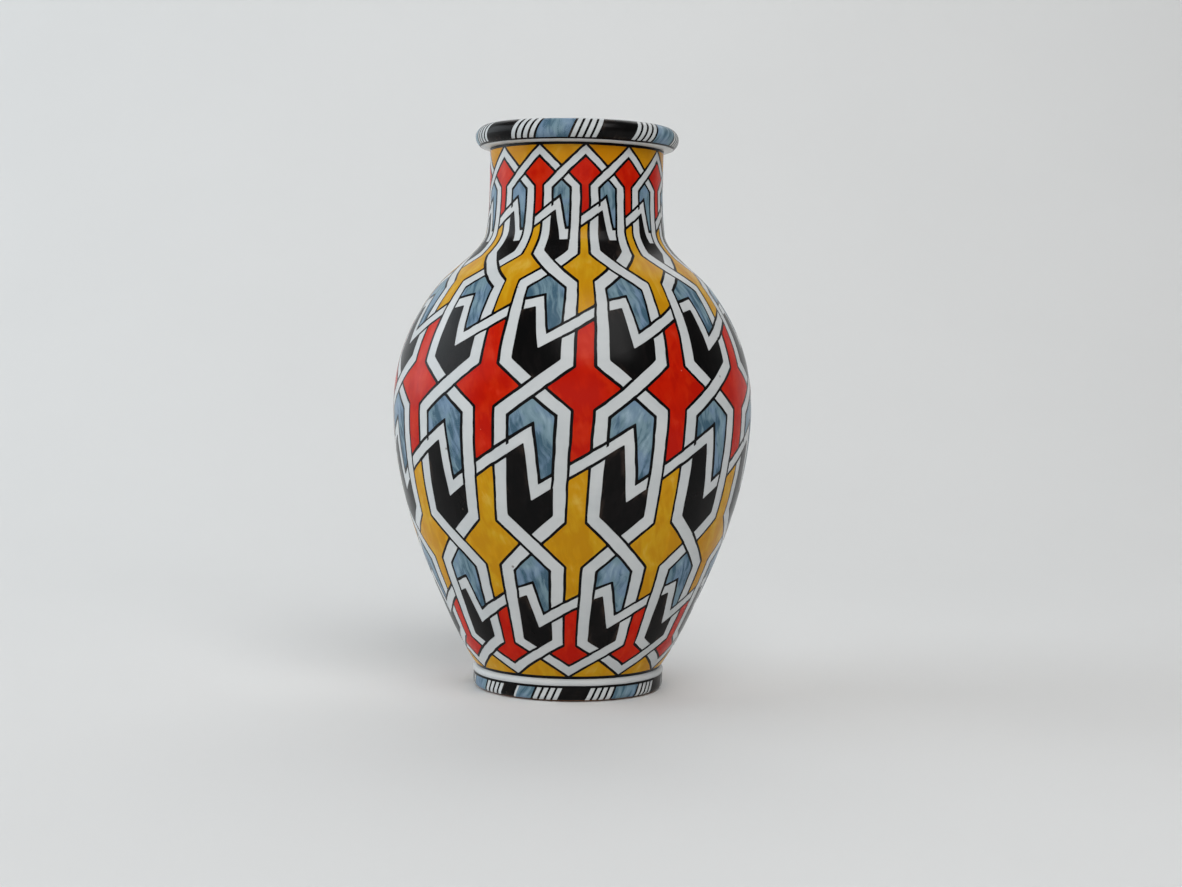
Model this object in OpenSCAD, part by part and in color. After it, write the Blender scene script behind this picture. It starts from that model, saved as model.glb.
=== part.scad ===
// Glazed earthenware vase, thrown in sections and painted with interlaced white straps.
// Millimetres, +Z up, origin in the middle of the foot's underside. The photographed side faces -Y.

/* [Heights of the sections] */
// Foot ring
foot_h = 14; // [12:0.5:20]
// Lower body, from the foot ring to the widest level
lower_body_h = 162; // [145:1:190]
// Upper body, from the widest level to the base of the neck
upper_body_h = 108; // [95:1:130]
// Neck, from its base to the seat of the rim
neck_h = 52; // [42:1:70]
// Rolled rim
rim_h = 14; // [11:0.5:18]

/* [Diameters] */
// Foot ring
foot_d = 119; // [110:0.5:128]
// Lower flank
flank_d = 164.2; // [152:0.2:177]
// Widest level
belly_d = 223.8; // [205:0.2:245]
// Shoulder
shoulder_d = 171.8; // [160:0.2:185]
// Neck at its base
neck_base_d = 111.4; // [102:0.2:122]
// Neck under the rim
throat_d = 108; // [100:0.2:118]

/* [Run of the outline] */
// Width of the foot ring, from the hollow under the foot to its outside
foot_wall = 13; // [9:0.5:22]
// Step in from the foot ring to the body
base_step = 1.5; // [0.2:0.1:3]
// How far the rolled rim stands out from the neck
rim_reach = 9.2; // [6:0.1:14]
// How far the crown of the roll stands out from the neck
crown_reach = 1.4; // [0:0.1:4]
// Height of the flank above the foot ring
flank_rise = 46; // [35:1:60]
// Height of the shoulder above the widest level
shoulder_rise = 74; // [62:1:84]
// Spread per millimetre of height where the body leaves the foot
foot_flare = 0.7; // [0.5:0.01:0.9]
// Spread per millimetre of height on the flank
flank_flare = 0.46; // [0.3:0.01:0.6]
// Spread per millimetre of height on the shoulder
shoulder_flare = -0.77; // [-0.95:0.01:-0.6]
// Spread per millimetre of height at the base of the neck
neck_flare = -0.14; // [-0.25:0.01:0]

/* [Clay and coats] */
// Wall of the thrown sections, measured level
wall = 6.5; // [4:0.1:9]
// Floor of the lower body
floor_t = 9; // [6:0.5:14]
// Rounding between the floor and the wall inside
floor_round = 16; // [8:1:24]
// Rounding of the foot's lower edge
foot_edge = 4; // [2:0.5:6]
// Bead round the top of the foot, its swell
bead_swell = 0.6; // [0.2:0.1:1.2]
// Bead round the top of the foot, its height
bead_h = 3.2; // [2:0.1:4]
// Slip seams between the sections
slip_t = 0.8; // [0.5:0.1:1.5]
// Glaze coats
glaze_t = 0.6; // [0.4:0.1:1]
// Bare clay left below the outer glaze
bare_edge = 1.2; // [0.5:0.1:3]
// Dark lines on the glaze
line_t = 0.15; // [0.1:0.05:0.3]
// Colour laid over the lines
paint_t = 0.15; // [0.1:0.05:0.3]

/* [Strapwork] */
// Columns of cells round the vase
columns = 12; // [10:1:14]
// Turn of the pattern at the foot, in degrees to the right
pattern_turn = 0.2; // [-15:0.1:15]
// Lean of the columns from the foot to the rim, in degrees to the right
pattern_lean = 5.4; // [-10:0.1:10]
// Dark line along each strap
line_w = 1.2; // [0.8:0.1:1.8]
// White of the upright straps in the bottom row
strap_w = 6.7; // [4:0.1:8]
// White of the zigzag straps in the bottom row
zig_w = 5.3; // [3:0.1:6.5]
// Peaks over the top row, in section levels
crown_level = 2.925; // [2.8:0.001:2.95]
// Tips under the bottom row, in section levels
tip_level = 0.025; // [0.02:0.001:0.06]

/* [Painted bands] */
// Repeats of the band on the rim
rim_repeats = 5; // [4:1:6]
// Where a black block starts on the rim, in degrees to the right
rim_turn = 12.5; // [0:0.5:72]
// Width of a zone of stripes, in degrees
stripes_a = 16; // [14:0.5:18]
// Width of a dark stripe, in degrees
stripe_a = 1.4; // [0.8:0.1:2]
// Share of each repeat's rest that the black block takes
black_share = 0.54; // [0.4:0.01:0.6]
// Lean of the stripes, level millimetres per millimetre of height
stripe_lean = 0.45; // [0:0.05:0.7]
// Blocks on the foot besides the short pair where the band closes
foot_blocks = 10; // [6:2:12]
// Where the first black block starts on the foot, in degrees to the right
foot_turn = -4.5; // [-30:0.5:30]
// Width of the short pair of blocks, in degrees
short_pair_a = 21; // [10:0.5:30]
// Lower edge of the band on the rim's roll, in degrees from level
rim_band_low = -46; // [-60:1:-30]
// Upper edge of the band on the rim's roll, in degrees from level
rim_band_high = 62; // [50:1:75]

/* [Hidden] */
$fn = 96;

clay_color = "peru";
slip_color = "tan";
glaze_color = "whitesmoke";
red_paint = "firebrick";
yellow_paint = "goldenrod";
blue_paint = "lightsteelblue";
dark_paint = [0.12, 0.11, 0.11];

// Levels
belly_z = foot_h + lower_body_h;
neck_z = belly_z + upper_body_h;
rim_z = neck_z + neck_h;
top_z = rim_z + rim_h;
floor_z = foot_h + floor_t;
seat_z = foot_h - slip_t;
rim_mid_z = rim_z + rim_h / 2;

// Diameters that follow their neighbours
foot_hollow_d = foot_d - 2 * foot_wall;
base_d = foot_d - 2 * base_step;
rim_d = throat_d + 2 * rim_reach;
rim_crown_d = throat_d + 2 * crown_reach;

// Outline of the glazed body: stations of height, radius and spread, joined by cubic curves
stations = [
    [foot_h, base_d / 2, foot_flare],
    [foot_h + flank_rise, flank_d / 2, flank_flare],
    [belly_z, belly_d / 2, 0],
    [belly_z + shoulder_rise, shoulder_d / 2, shoulder_flare],
    [neck_z, neck_base_d / 2, neck_flare],
    [rim_z, throat_d / 2, 0]
];
segment_steps = [4, 7, 6, 7, 4];
function cubic(a, b, t) =
    let (run = b[0] - a[0])
    a[1] * (2 * t ^ 3 - 3 * t ^ 2 + 1) + a[2] * run * (t ^ 3 - 2 * t ^ 2 + t)
    + b[1] * (3 * t ^ 2 - 2 * t ^ 3) + b[2] * run * (t ^ 3 - t ^ 2);

// Outline of the glazed foot: a rounded edge below and a bead above
edge_steps = 4;
bead_steps = 4;
foot_table = concat(
    [for (i = [0 : edge_steps])
        let (z = foot_edge * i / edge_steps)
        [z, foot_d / 2 - foot_edge + sqrt(foot_edge ^ 2 - (foot_edge - z) ^ 2)]],
    [for (i = [0 : bead_steps])
        [seat_z - bead_h + bead_h * i / bead_steps, foot_d / 2 + bead_swell * sin(180 * i / bead_steps)]]
);

// Every section and coat is cut from the same cones, so that they meet face to face
body_table = concat(
    [for (s = [0 : len(segment_steps) - 1], i = [0 : segment_steps[s] - 1])
        let (a = stations[s], b = stations[s + 1], t = i / segment_steps[s])
        [a[0] + t * (b[0] - a[0]), cubic(a, b, t)]],
    [[rim_z, throat_d / 2]]
);
function body_r(z) = lookup(z, body_table);
function reversed(path) = [for (i = [len(path) - 1 : -1 : 0]) path[i]];
function heights(table, z0, z1) =
    concat([z0], [for (row = table) if (row[0] > z0 + 0.01 && row[0] < z1 - 0.01) row[0]], [z1]);
function path(table, z0, z1, inset) = [for (z = heights(table, z0, z1)) [lookup(z, table) - inset, z]];

// Inside of the body, rounded where the wall meets the floor
clay_inset = glaze_t + wall;
round_z = floor_z + floor_round;
round_step = 15;
function floor_path(lift) =
    let (r = floor_round - lift, mid_r = body_r(round_z) - clay_inset - floor_round)
    [for (a = [-90 : round_step : -round_step]) [mid_r + r * cos(a), round_z + r * sin(a)]];

// Rolled rim: the outer half, and the inner quarter from the crown down to the throat
roll_step = 18;
crown_a = 90;
crown_r = rim_crown_d / 2;
throat_r = throat_d / 2 - clay_inset;
roll_cos = [for (a = [-crown_a : roll_step : crown_a]) [a, cos(a)]];
roll_sin = [for (a = [-crown_a : roll_step : crown_a]) [a, sin(a)]];
function roll_path(a0, a1, inset) =
    [for (a = heights(roll_cos, a0, a1))
        [crown_r + (rim_d / 2 - crown_r - inset) * lookup(a, roll_cos),
         rim_mid_z + (rim_h / 2 - inset) * lookup(a, roll_sin)]];
function throat_path(lift) =
    let (half_w = crown_r - throat_r + lift, half_h = rim_h / 2 - glaze_t + lift)
    [for (a = [crown_a : roll_step : 2 * crown_a]) [crown_r + half_w * cos(a), rim_mid_z + half_h * sin(a)]];

module turned(points) {
    rotate_extrude()
        polygon(points);
}

module section(z0, z1) {
    turned(concat(path(body_table, z0, z1, glaze_t), reversed(path(body_table, z0, z1, clay_inset))));
}

// Clay sections and the slip between them

module foot_ring() {
    hollow_r = foot_hollow_d / 2;
    color(clay_color)
        turned(concat(
            path(foot_table, 0, seat_z, glaze_t),
            [[hollow_r, seat_z], [hollow_r, foot_edge], [hollow_r + foot_edge, 0]]
        ));
}

module foot_slip() {
    color(slip_color)
        turned([
            [foot_hollow_d / 2, seat_z],
            [foot_d / 2 - glaze_t, seat_z],
            [base_d / 2 - glaze_t, foot_h],
            [foot_hollow_d / 2, foot_h]
        ]);
}

module lower_body() {
    color(clay_color)
        turned(concat(
            [[0, foot_h]],
            path(body_table, foot_h, belly_z - slip_t, glaze_t),
            reversed(path(body_table, round_z, belly_z - slip_t, clay_inset)),
            reversed(floor_path(0)),
            [[0, floor_z]]
        ));
}

module belly_slip() {
    color(slip_color)
        section(belly_z - slip_t, belly_z);
}

module upper_body() {
    color(clay_color)
        section(belly_z, neck_z - slip_t);
}

module neck_slip() {
    color(slip_color)
        section(neck_z - slip_t, neck_z);
}

module neck() {
    color(clay_color)
        section(neck_z, rim_z - slip_t);
}

module rim_slip() {
    color(slip_color)
        section(rim_z - slip_t, rim_z);
}

module rim_roll() {
    color(clay_color)
        turned(concat(
            [[throat_r, rim_z], [throat_d / 2 - glaze_t, rim_z]],
            roll_path(-crown_a, crown_a - roll_step, glaze_t),
            throat_path(0)
        ));
}

// Glaze coats

module liner_glaze() {
    color(glaze_color)
        turned(concat(
            [[0, floor_z]],
            floor_path(0),
            path(body_table, round_z, rim_z, clay_inset),
            reversed(throat_path(0)),
            throat_path(glaze_t),
            reversed(path(body_table, round_z, rim_z, clay_inset + glaze_t)),
            reversed(floor_path(glaze_t)),
            [[0, floor_z + glaze_t]]
        ));
}

module outer_glaze() {
    color(glaze_color)
        turned(concat(
            path(foot_table, bare_edge, seat_z, 0),
            path(body_table, foot_h, rim_z, 0),
            roll_path(-crown_a, crown_a, 0),
            reversed(roll_path(-crown_a, crown_a, glaze_t)),
            reversed(path(body_table, foot_h, rim_z, glaze_t)),
            reversed(path(foot_table, bare_edge, seat_z, glaze_t))
        ));
}

// Plan of the strapwork, row by row from the neck down. Offsets from the middle of a column are in column pitches,
// and heights are in section levels: the lower body ends at 1, the upper body at 2 and the neck at 3.
strap_share = [0.72, 0.99, 1.09, 1];
zig_share = [0.68, 0.98, 1.08, 1];
zig_in_share = [0.8, 0.98, 1.08, 1];
zig_out_share = [1.2, 0.98, 1.08, 1];
strap_at = [0.3, 0.32, 0.317, 0.31];
bend_top = [2.49, 1.689, 1.003, 0.435];
bend_low = [1.868, 1.272, 0.62, 0.148];
zig_high = [2.298, 1.597, 0.923, 0.358];
zig_low = [1.969, 1.384, 0.717, 0.232];
zig_high_at = [-0.08, -0.043, -0.03, -0.053];
zig_low_at = [0.06, 0.047, 0.058, 0.077];
// Where a zigzag goes in under an upright strap, and where it comes out on the right
tuck_in = [1.972, 1.568, 0.7755, 0.33];
tuck_out = [2.04, 1.568, 0.7755, 0.33];

// Places in the pattern are [degrees to the right, height]. A share of 0 is the middle of a column.
pitch = 360 / columns;
rows = len(bend_top);
function level_z(level) =
    level <= 1 ? foot_h + level * lower_body_h
    : level <= 2 ? belly_z + (level - 1) * upper_body_h
    : neck_z + (level - 2) * neck_h;
function turn_at(z) = pattern_turn + pattern_lean * (z - foot_h) / (rim_z - foot_h);
function spot(share, level) = let (z = level_z(level)) [(share + 0.5) * pitch + turn_at(z), z];
function crown(k) = spot(k + 0.5, crown_level);
function tip(k) = spot(k + 0.5, tip_level);
function left_top(k, i) = spot(k - strap_at[i], bend_top[i]);
function left_low(k, i) = spot(k - strap_at[i], bend_low[i]);
function right_top(k, i) = spot(k + strap_at[i], bend_top[i]);
function right_low(k, i) = spot(k + strap_at[i], bend_low[i]);
function peak(k, i) = spot(k + zig_high_at[i], zig_high[i]);
function dip(k, i) = spot(k + zig_low_at[i], zig_low[i]);
// The second and fourth zigzags go under the left strap of the next column, the others under the right strap
function dives_left(i) = i % 2 == 1;
function tuck(k, i, level) = spot(dives_left(i) ? k + 1 - strap_at[i] : k + strap_at[i], level);

// Runs of strap are [start, end, half width]. Crossing j lies above row j.
function flipped(run) = [run[1], run[0], run[2]];
function half_strap(i) = strap_w * strap_share[i] / 2;
function half_zig(share) = zig_w * share / 2;
function left_up(k, i) = [left_low(k, i), left_top(k, i), half_strap(i)];
function right_up(k, i) = [right_low(k, i), right_top(k, i), half_strap(i)];
function half_cross(j) = (half_strap(max(j - 1, 0)) + half_strap(min(j, rows - 1))) / 2;
function falling(k, j) = [
    j == 0 ? crown(k - 1) : left_low(k, j - 1),
    j == rows ? tip(k) : right_top(k, j),
    half_cross(j)
];
function rising(k, j) = [
    j == rows ? tip(k - 1) : left_top(k, j),
    j == 0 ? crown(k) : right_low(k, j - 1),
    half_cross(j)
];
function zig_in(k, i) = [tuck(k - 1, i, tuck_out[i]), peak(k, i), half_zig(zig_in_share[i])];
function zig_down(k, i) = [peak(k, i), dip(k, i), half_zig(zig_share[i])];
function zig_out(k, i) = [dip(k, i), tuck(k, i, tuck_in[i]), half_zig(zig_out_share[i])];
function zig_between(i) = dives_left(i) ? zig_out(0, i) : zig_in(1, i);

// A run moved to its left by a distance in millimetres, and the place where two runs meet
function moved(run, by) =
    let (mm = body_r((run[0][1] + run[1][1]) / 2) * PI / 180,
         along = [(run[1][0] - run[0][0]) * mm, run[1][1] - run[0][1]],
         aside = [-along[1] / mm, along[0]] * by / norm(along))
    [run[0] + aside, run[1] + aside];
function meet(a, b) =
    let (u = a[1] - a[0], v = b[1] - b[0], w = b[0] - a[0])
    a[0] + u * (w[0] * v[1] - w[1] * v[0]) / (u[0] * v[1] - u[1] * v[0]);

// A field lies to the left of all the runs round it
function field(runs, inset) =
    let (sides = [for (run = runs) moved(run, run[2] + inset)], n = len(sides))
    [for (i = [0 : n - 1]) meet(sides[i], sides[(i + 1) % n])];
function cell_above(i) = [
    right_up(0, i), flipped(falling(0, i)), flipped(rising(0, i)), flipped(left_up(0, i)),
    zig_in(0, i), zig_down(0, i), zig_out(0, i)
];
function cell_below(i) = [
    falling(0, i + 1), rising(0, i + 1), right_up(0, i),
    flipped(zig_out(0, i)), flipped(zig_down(0, i)), flipped(zig_in(0, i)), flipped(left_up(0, i))
];
// Between two columns, from the zigzag above crossing j to the zigzag below it
function waist(j) = concat(
    j > 0 ? [flipped(right_up(0, j - 1))] : [],
    [flipped(rising(0, j)), falling(0, j)],
    j < rows ? [flipped(right_up(0, j)), zig_between(j), left_up(1, j)] : [],
    [rising(1, j), flipped(falling(1, j))],
    j > 0 ? [left_up(1, j - 1), flipped(zig_between(j - 1))] : []
);
// Triangles over the crowns and under the tips, kept apart from their neighbours
apart = 0.05;
function level_run(z, sweep) = [[0, z], [sweep, z], 0];
function upright(place) = [place, place + [0, 1], apart];
over_crowns = [
    falling(0, 0), rising(0, 0), upright(crown(0)), level_run(rim_z + strap_w, -pitch), flipped(upright(crown(-1)))
];
under_tips = [
    level_run(foot_h - strap_w, pitch), upright(tip(0)),
    flipped(falling(0, rows)), flipped(rising(0, rows)), flipped(upright(tip(-1)))
];
red_runs = [for (j = [0 : 2 : rows]) waist(j)];
yellow_runs = concat([for (j = [1 : 2 : rows]) waist(j)], [over_crowns, under_tips]);
blue_runs = [for (i = [0 : rows - 1]) cell_above(i)];
black_runs = [for (i = [0 : rows - 1]) cell_below(i)];

// A short line carries each edge of a strap across the strap that passes under it
function tick(over, side, under) =
    let (near = moved(over, side * over[2]), far = moved(over, side * (over[2] + line_w)),
         half_w = under[2] - apart, ahead = moved(under, half_w), behind = moved(under, -half_w))
    [meet(near, ahead), meet(near, behind), meet(far, behind), meet(far, ahead)];
function crossing(over, under) = [for (side = [-1, 1]) tick(over, side, under)];
function cross_ticks(j) =
    j % 2 == 0 ? crossing(rising(0, j), falling(0, j)) : crossing(falling(0, j), rising(0, j));
function zig_ticks(i) =
    let (upright = dives_left(i) ? left_up(1, i) : right_up(0, i))
    concat(
        [tick(upright, 1, zig_out(0, i)), tick(upright, -1, zig_in(1, i))],
        dives_left(i) ? crossing(zig_out(0, i), right_up(0, i)) : crossing(zig_in(0, i), left_up(0, i))
    );
tick_corners = concat(
    [for (j = [0 : rows]) each cross_ticks(j)],
    [for (i = [0 : rows - 1]) each zig_ticks(i)]
);

// Pigment lies on the glaze between the ring lines: dark lines first, then the colours over them
coat_t = line_t + paint_t;
paint_low = foot_h + line_w;
paint_high = rim_z - line_w;
slack = 1;
prism_start = 0.9;

module body_coat(z0, z1, under, over) {
    low = max(z0 - slack, paint_low);
    high = min(z1 + slack, paint_high);
    turned(concat(path(body_table, low, high, -over), reversed(path(body_table, low, high, -under))));
}

module prism(corners, mid, near_r, far_r) {
    rotate([90, 0, mid])
        translate([0, 0, near_r])
            linear_extrude(height = far_r - near_r)
                polygon([for (p = corners) [body_r(p[1]) * sin(p[0] - mid), p[1]]]);
}

module painted_round(corners, under, over) {
    angles = [for (p = corners) p[0]];
    z = [for (p = corners) p[1]];
    radii = [for (h = z) body_r(h)];
    mid = (min(angles) + max(angles)) / 2;
    for (c = [0 : columns - 1])
        rotate([0, 0, c * pitch])
            intersection() {
                body_coat(min(z), max(z), under, over);
                prism(corners, mid, min(radii) * prism_start, max(radii) + slack * 2);
            }
}

module fills(fields, inset, under, over) {
    for (runs = fields)
        painted_round(field(runs, inset), under, over);
}

// Dark lines along the straps, which show round the coloured fields and across the straps below

module strap_outlines() {
    color(dark_paint)
        fills(concat(red_runs, yellow_runs, blue_runs), 0, 0, line_t);
}

module crossing_lines() {
    color(dark_paint)
        for (corners = tick_corners)
            painted_round(corners, 0, line_t);
}

// Painted fields

module red_fields() {
    color(red_paint)
        fills(red_runs, line_w, line_t, coat_t);
}

module yellow_fields() {
    color(yellow_paint)
        fills(yellow_runs, line_w, line_t, coat_t);
}

module blue_fields() {
    color(blue_paint)
        fills(blue_runs, line_w, line_t, coat_t);
}

module black_fields() {
    color(dark_paint)
        fills(black_runs, 0, 0, coat_t);
}

// Lines round the vase, above and below the bead of the foot and above and below the white line under the rim

bead_low_z = seat_z - bead_h;
roll_line_a = line_w / (rim_h / 2) * 180 / PI;

module coat_strip(outer, inner) {
    turned(concat(outer, reversed(inner)));
}

module ring_lines() {
    z0 = bead_low_z - line_w;
    a0 = rim_band_low - roll_line_a;
    color(dark_paint) {
        coat_strip(path(foot_table, z0, bead_low_z, -coat_t), path(foot_table, z0, bead_low_z, 0));
        coat_strip(path(body_table, foot_h, paint_low, -coat_t), path(body_table, foot_h, paint_low, 0));
        coat_strip(path(body_table, paint_high, rim_z, -coat_t), path(body_table, paint_high, rim_z, 0));
        coat_strip(roll_path(a0, rim_band_low, -coat_t), roll_path(a0, rim_band_low, 0));
    }
}

// Bands of blocks and slanting stripes. Spans are [from, to] in degrees to the right.
stripes = 4;
stripe_pitch = stripes_a / stripes;
rim_pitch = 360 / rim_repeats;
rim_rest = rim_pitch - 2 * stripes_a;
rim_black_a = rim_rest * black_share;
foot_block_a = (360 - short_pair_a - stripes_a * (foot_blocks + 1)) / foot_blocks;
foot_pitch = foot_block_a + stripes_a;

// Dark stripes of a zone, set against its right end or its left end
function zone(from, to_right) =
    [for (n = [0 : stripes - 1])
        let (a = from + n * stripe_pitch + (to_right ? stripe_pitch - stripe_a : 0))
        [a, a + stripe_a]];
function rim_start(n) = rim_turn + n * rim_pitch;
rim_black_spans = [for (n = [0 : rim_repeats - 1])
    let (a = rim_start(n))
    each concat([[a, a + rim_black_a]], zone(a + rim_black_a, true), zone(a + rim_pitch - stripes_a, false))];
rim_blue_spans = [for (n = [0 : rim_repeats - 1])
    let (a = rim_start(n) + rim_black_a + stripes_a)
    [a, rim_start(n) + rim_pitch - stripes_a]];
short_end = foot_turn - stripes_a;
short_mid = short_end - short_pair_a / 2;
function foot_start(n) = foot_turn + n * foot_pitch;
foot_black_spans = concat(
    [[short_end - short_pair_a, short_mid - stripe_a / 2]],
    zone(short_end, false),
    [for (n = [0 : foot_blocks - 1])
        each concat(
            n % 2 == 0 ? [[foot_start(n), foot_start(n) + foot_block_a]] : [],
            zone(foot_start(n) + foot_block_a, n % 2 == 0)
        )]
);
foot_blue_spans = concat(
    [[short_mid + stripe_a / 2, short_end]],
    [for (n = [1 : 2 : foot_blocks - 1]) [foot_start(n), foot_start(n) + foot_block_a]]
);

module span_prism(span, r, z0, z1) {
    mid = (span[0] + span[1]) / 2;
    half_w = r * sin((span[1] - span[0]) / 2);
    lean = stripe_lean * (z1 - z0) / 2;
    rotate([90, 0, mid])
        translate([0, 0, r / 2])
            linear_extrude(height = r)
                polygon([[-half_w - lean, z0], [half_w - lean, z0], [half_w + lean, z1], [lean - half_w, z1]]);
}

module rim_blocks(spans) {
    for (span = spans)
        intersection() {
            coat_strip(roll_path(rim_band_low, rim_band_high, -coat_t), roll_path(rim_band_low, rim_band_high, 0));
            span_prism(span, rim_d / 2, rim_z, top_z);
        }
}

module foot_blocks_round(spans) {
    z0 = bare_edge;
    z1 = bead_low_z - line_w;
    for (span = spans)
        intersection() {
            coat_strip(path(foot_table, z0, z1, -coat_t), path(foot_table, z0, z1, 0));
            span_prism(span, foot_d / 2, z0 - slack, z1 + slack);
        }
}

module rim_black_blocks() {
    color(dark_paint)
        rim_blocks(rim_black_spans);
}

module rim_blue_blocks() {
    color(blue_paint)
        rim_blocks(rim_blue_spans);
}

module foot_black_blocks() {
    color(dark_paint)
        foot_blocks_round(foot_black_spans);
}

module foot_blue_blocks() {
    color(blue_paint)
        foot_blocks_round(foot_blue_spans);
}

foot_ring();
foot_slip();
lower_body();
belly_slip();
upper_body();
neck_slip();
neck();
rim_slip();
rim_roll();
liner_glaze();
outer_glaze();
strap_outlines();
crossing_lines();
red_fields();
yellow_fields();
blue_fields();
black_fields();
ring_lines();
rim_black_blocks();
rim_blue_blocks();
foot_black_blocks();
foot_blue_blocks();
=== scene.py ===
import math

import bmesh
import bpy
from mathutils import Matrix, Vector, geometry, noise


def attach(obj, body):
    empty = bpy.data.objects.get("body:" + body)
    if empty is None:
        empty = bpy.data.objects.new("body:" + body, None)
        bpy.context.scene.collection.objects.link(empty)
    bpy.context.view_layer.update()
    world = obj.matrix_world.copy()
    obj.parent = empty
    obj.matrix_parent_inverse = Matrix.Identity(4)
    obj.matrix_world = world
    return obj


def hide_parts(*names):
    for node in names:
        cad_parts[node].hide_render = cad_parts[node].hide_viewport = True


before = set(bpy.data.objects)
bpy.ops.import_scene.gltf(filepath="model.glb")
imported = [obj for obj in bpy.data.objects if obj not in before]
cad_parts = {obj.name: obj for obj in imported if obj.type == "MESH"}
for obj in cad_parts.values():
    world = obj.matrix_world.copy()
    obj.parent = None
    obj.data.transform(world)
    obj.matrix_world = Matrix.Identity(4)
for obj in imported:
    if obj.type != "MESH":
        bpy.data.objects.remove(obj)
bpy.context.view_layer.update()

# The painter's hand strays the same way in every run
noise.seed_set(12)

# Sizes of the vase, in millimetres, as in the part's source
mm = 0.001
foot_h = 14
lower_body_h = 162
upper_body_h = 108
neck_h = 52
rim_h = 14
belly_z = foot_h + lower_body_h
neck_z = belly_z + upper_body_h
rim_z = neck_z + neck_h
rim_mid_z = rim_z + rim_h / 2
foot_r = 59.5
throat_r = 54
rim_r = 63.2
crown_r = 55.4
wall = 6.5
glaze_t = 0.6
floor_z = 23
floor_round = 16
foot_edge = 4
bare_edge = 1.2
seat_z = 13.2
bead_h = 3.2
bead_swell = 0.6
line_w = 1.2
spin_steps = 200
slope_step = 0.2
crease = 0.9

# Paint, in millimetres: how far each layer stands above the glaze, and how far all of them reach into it
line_lift = 0.06
band_lift = 0.08
field_lift = 0.11
ring_lift = 0.14
paint_root = 0.1

# The painter's hand, in millimetres: length and size of slow strays, quick ones and ragged edges
slow_l = 55
slow_stray = 1.0
quick_l = 10
quick_stray = 0.3
ragged_l = 4
ragged_stray = 0.3
steady_h = 12

# Plates of paint: corners are softened on shapes stretched sideways, and each turn has its own plate numbers
soft_stretch = 1.5
plate_step = 31.7

# Stations of the outline: height, radius and spread per millimetre of height
stations = [
    (foot_h, 58.0, 0.7),
    (foot_h + 46, 82.1, 0.46),
    (belly_z, 111.9, 0.0),
    (belly_z + 74, 85.9, -0.77),
    (neck_z, 55.7, -0.14),
    (rim_z, throat_r, 0.0),
]


def body_r(z):
    """Radius of the glazed body at a height."""
    z = min(max(z, foot_h), rim_z)
    low, high = next(pair for pair in zip(stations, stations[1:]) if z <= pair[1][0])
    run = high[0] - low[0]
    t = (z - low[0]) / run
    ends = low[1] * (2 * t**3 - 3 * t**2 + 1) + high[1] * (3 * t**2 - 2 * t**3)
    return ends + run * (low[2] * (t**3 - 2 * t**2 + t) + high[2] * (t**3 - t**2))


def foot_outline(z):
    """Radius of the glazed foot at a height: a rounded edge below and a bead above."""
    if z < foot_edge:
        return foot_r - foot_edge + math.sqrt(foot_edge**2 - (foot_edge - z) ** 2)
    bead = (z - seat_z + bead_h) / bead_h
    return foot_r + (bead_swell * math.sin(math.pi * bead) if 0 < bead < 1 else 0)


# Places on the glaze, from degrees to the right of the front, a height or a turn on the roll, and a lift
def at(degrees, r, z):
    a = math.radians(degrees)
    return Vector((r * math.sin(a), -r * math.cos(a), z))


def on_body(degrees, z, lift):
    slope = (body_r(z + slope_step) - body_r(z - slope_step)) / (2 * slope_step)
    tilt = math.atan(slope)
    return at(degrees, body_r(z) + lift * math.cos(tilt), z - lift * math.sin(tilt))


def on_foot(degrees, z, lift):
    return at(degrees, foot_outline(z) + lift, z)


def on_rim(degrees, turn, lift):
    a = math.radians(turn)
    r = crown_r + (rim_r - crown_r + lift) * math.cos(a)
    return at(degrees, r, rim_mid_z + (rim_h / 2 + lift) * math.sin(a))


def hand(place):
    """How far a hand-held brush strays at a place, in millimetres."""
    slow = noise.noise_vector(place / slow_l + Vector((0, 3, 8)))
    quick = noise.noise_vector(place / quick_l + Vector((4, 0, 1)))
    return slow * slow_stray + quick * quick_stray


# Building pieces
def finish_piece(bm, name, material, nodes):
    """Turns a mesh in millimetres into a finished piece that stands for its nodes."""
    bmesh.ops.scale(bm, vec=(mm, mm, mm), verts=bm.verts)
    bmesh.ops.recalc_face_normals(bm, faces=bm.faces)
    for face in bm.faces:
        face.smooth = True
    for edge in bm.edges:
        edge.smooth = edge.calc_face_angle(0) < crease
    mesh = bpy.data.meshes.new(name)
    bm.to_mesh(mesh)
    bm.free()
    mesh.materials.append(material)
    piece = bpy.data.objects.new(name, mesh)
    bpy.context.scene.collection.objects.link(piece)
    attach(piece, "root")
    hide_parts(*nodes)


def turned(profile, closed=True):
    """Spins a profile of (radius, height) round the axis. An open one starts and ends on the axis."""
    bm = bmesh.new()
    verts = [bm.verts.new((r, 0, z)) for r, z in profile]
    ahead = verts[1:] + verts[:1] if closed else verts[1:]
    edges = [bm.edges.new(pair) for pair in zip(verts, ahead)]
    whole = {"angle": math.tau, "steps": spin_steps, "use_merge": True}
    bmesh.ops.spin(bm, geom=verts + edges, cent=(0, 0, 0), axis=(0, 0, 1), **whole)
    bmesh.ops.remove_doubles(bm, verts=bm.verts, dist=1e-4)
    return bm


def cut_across(bm, normal, step):
    """Cuts flat shapes along evenly spaced lines, on the same lines for every piece."""
    places = [v.co.dot(normal) for v in bm.verts]
    for n in range(math.floor(min(places) / step) + 1, math.ceil(max(places) / step)):
        geom = bm.verts[:] + bm.edges[:] + bm.faces[:]
        bmesh.ops.bisect_plane(bm, geom=geom, plane_co=normal * (n * step), plane_no=normal, dist=1e-5)


def rise_of(place):
    """Millimetres to each unit of height: the roll of the rim is measured in degrees."""
    return math.radians(rim_h / 2) if place is on_rim else 1


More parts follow.
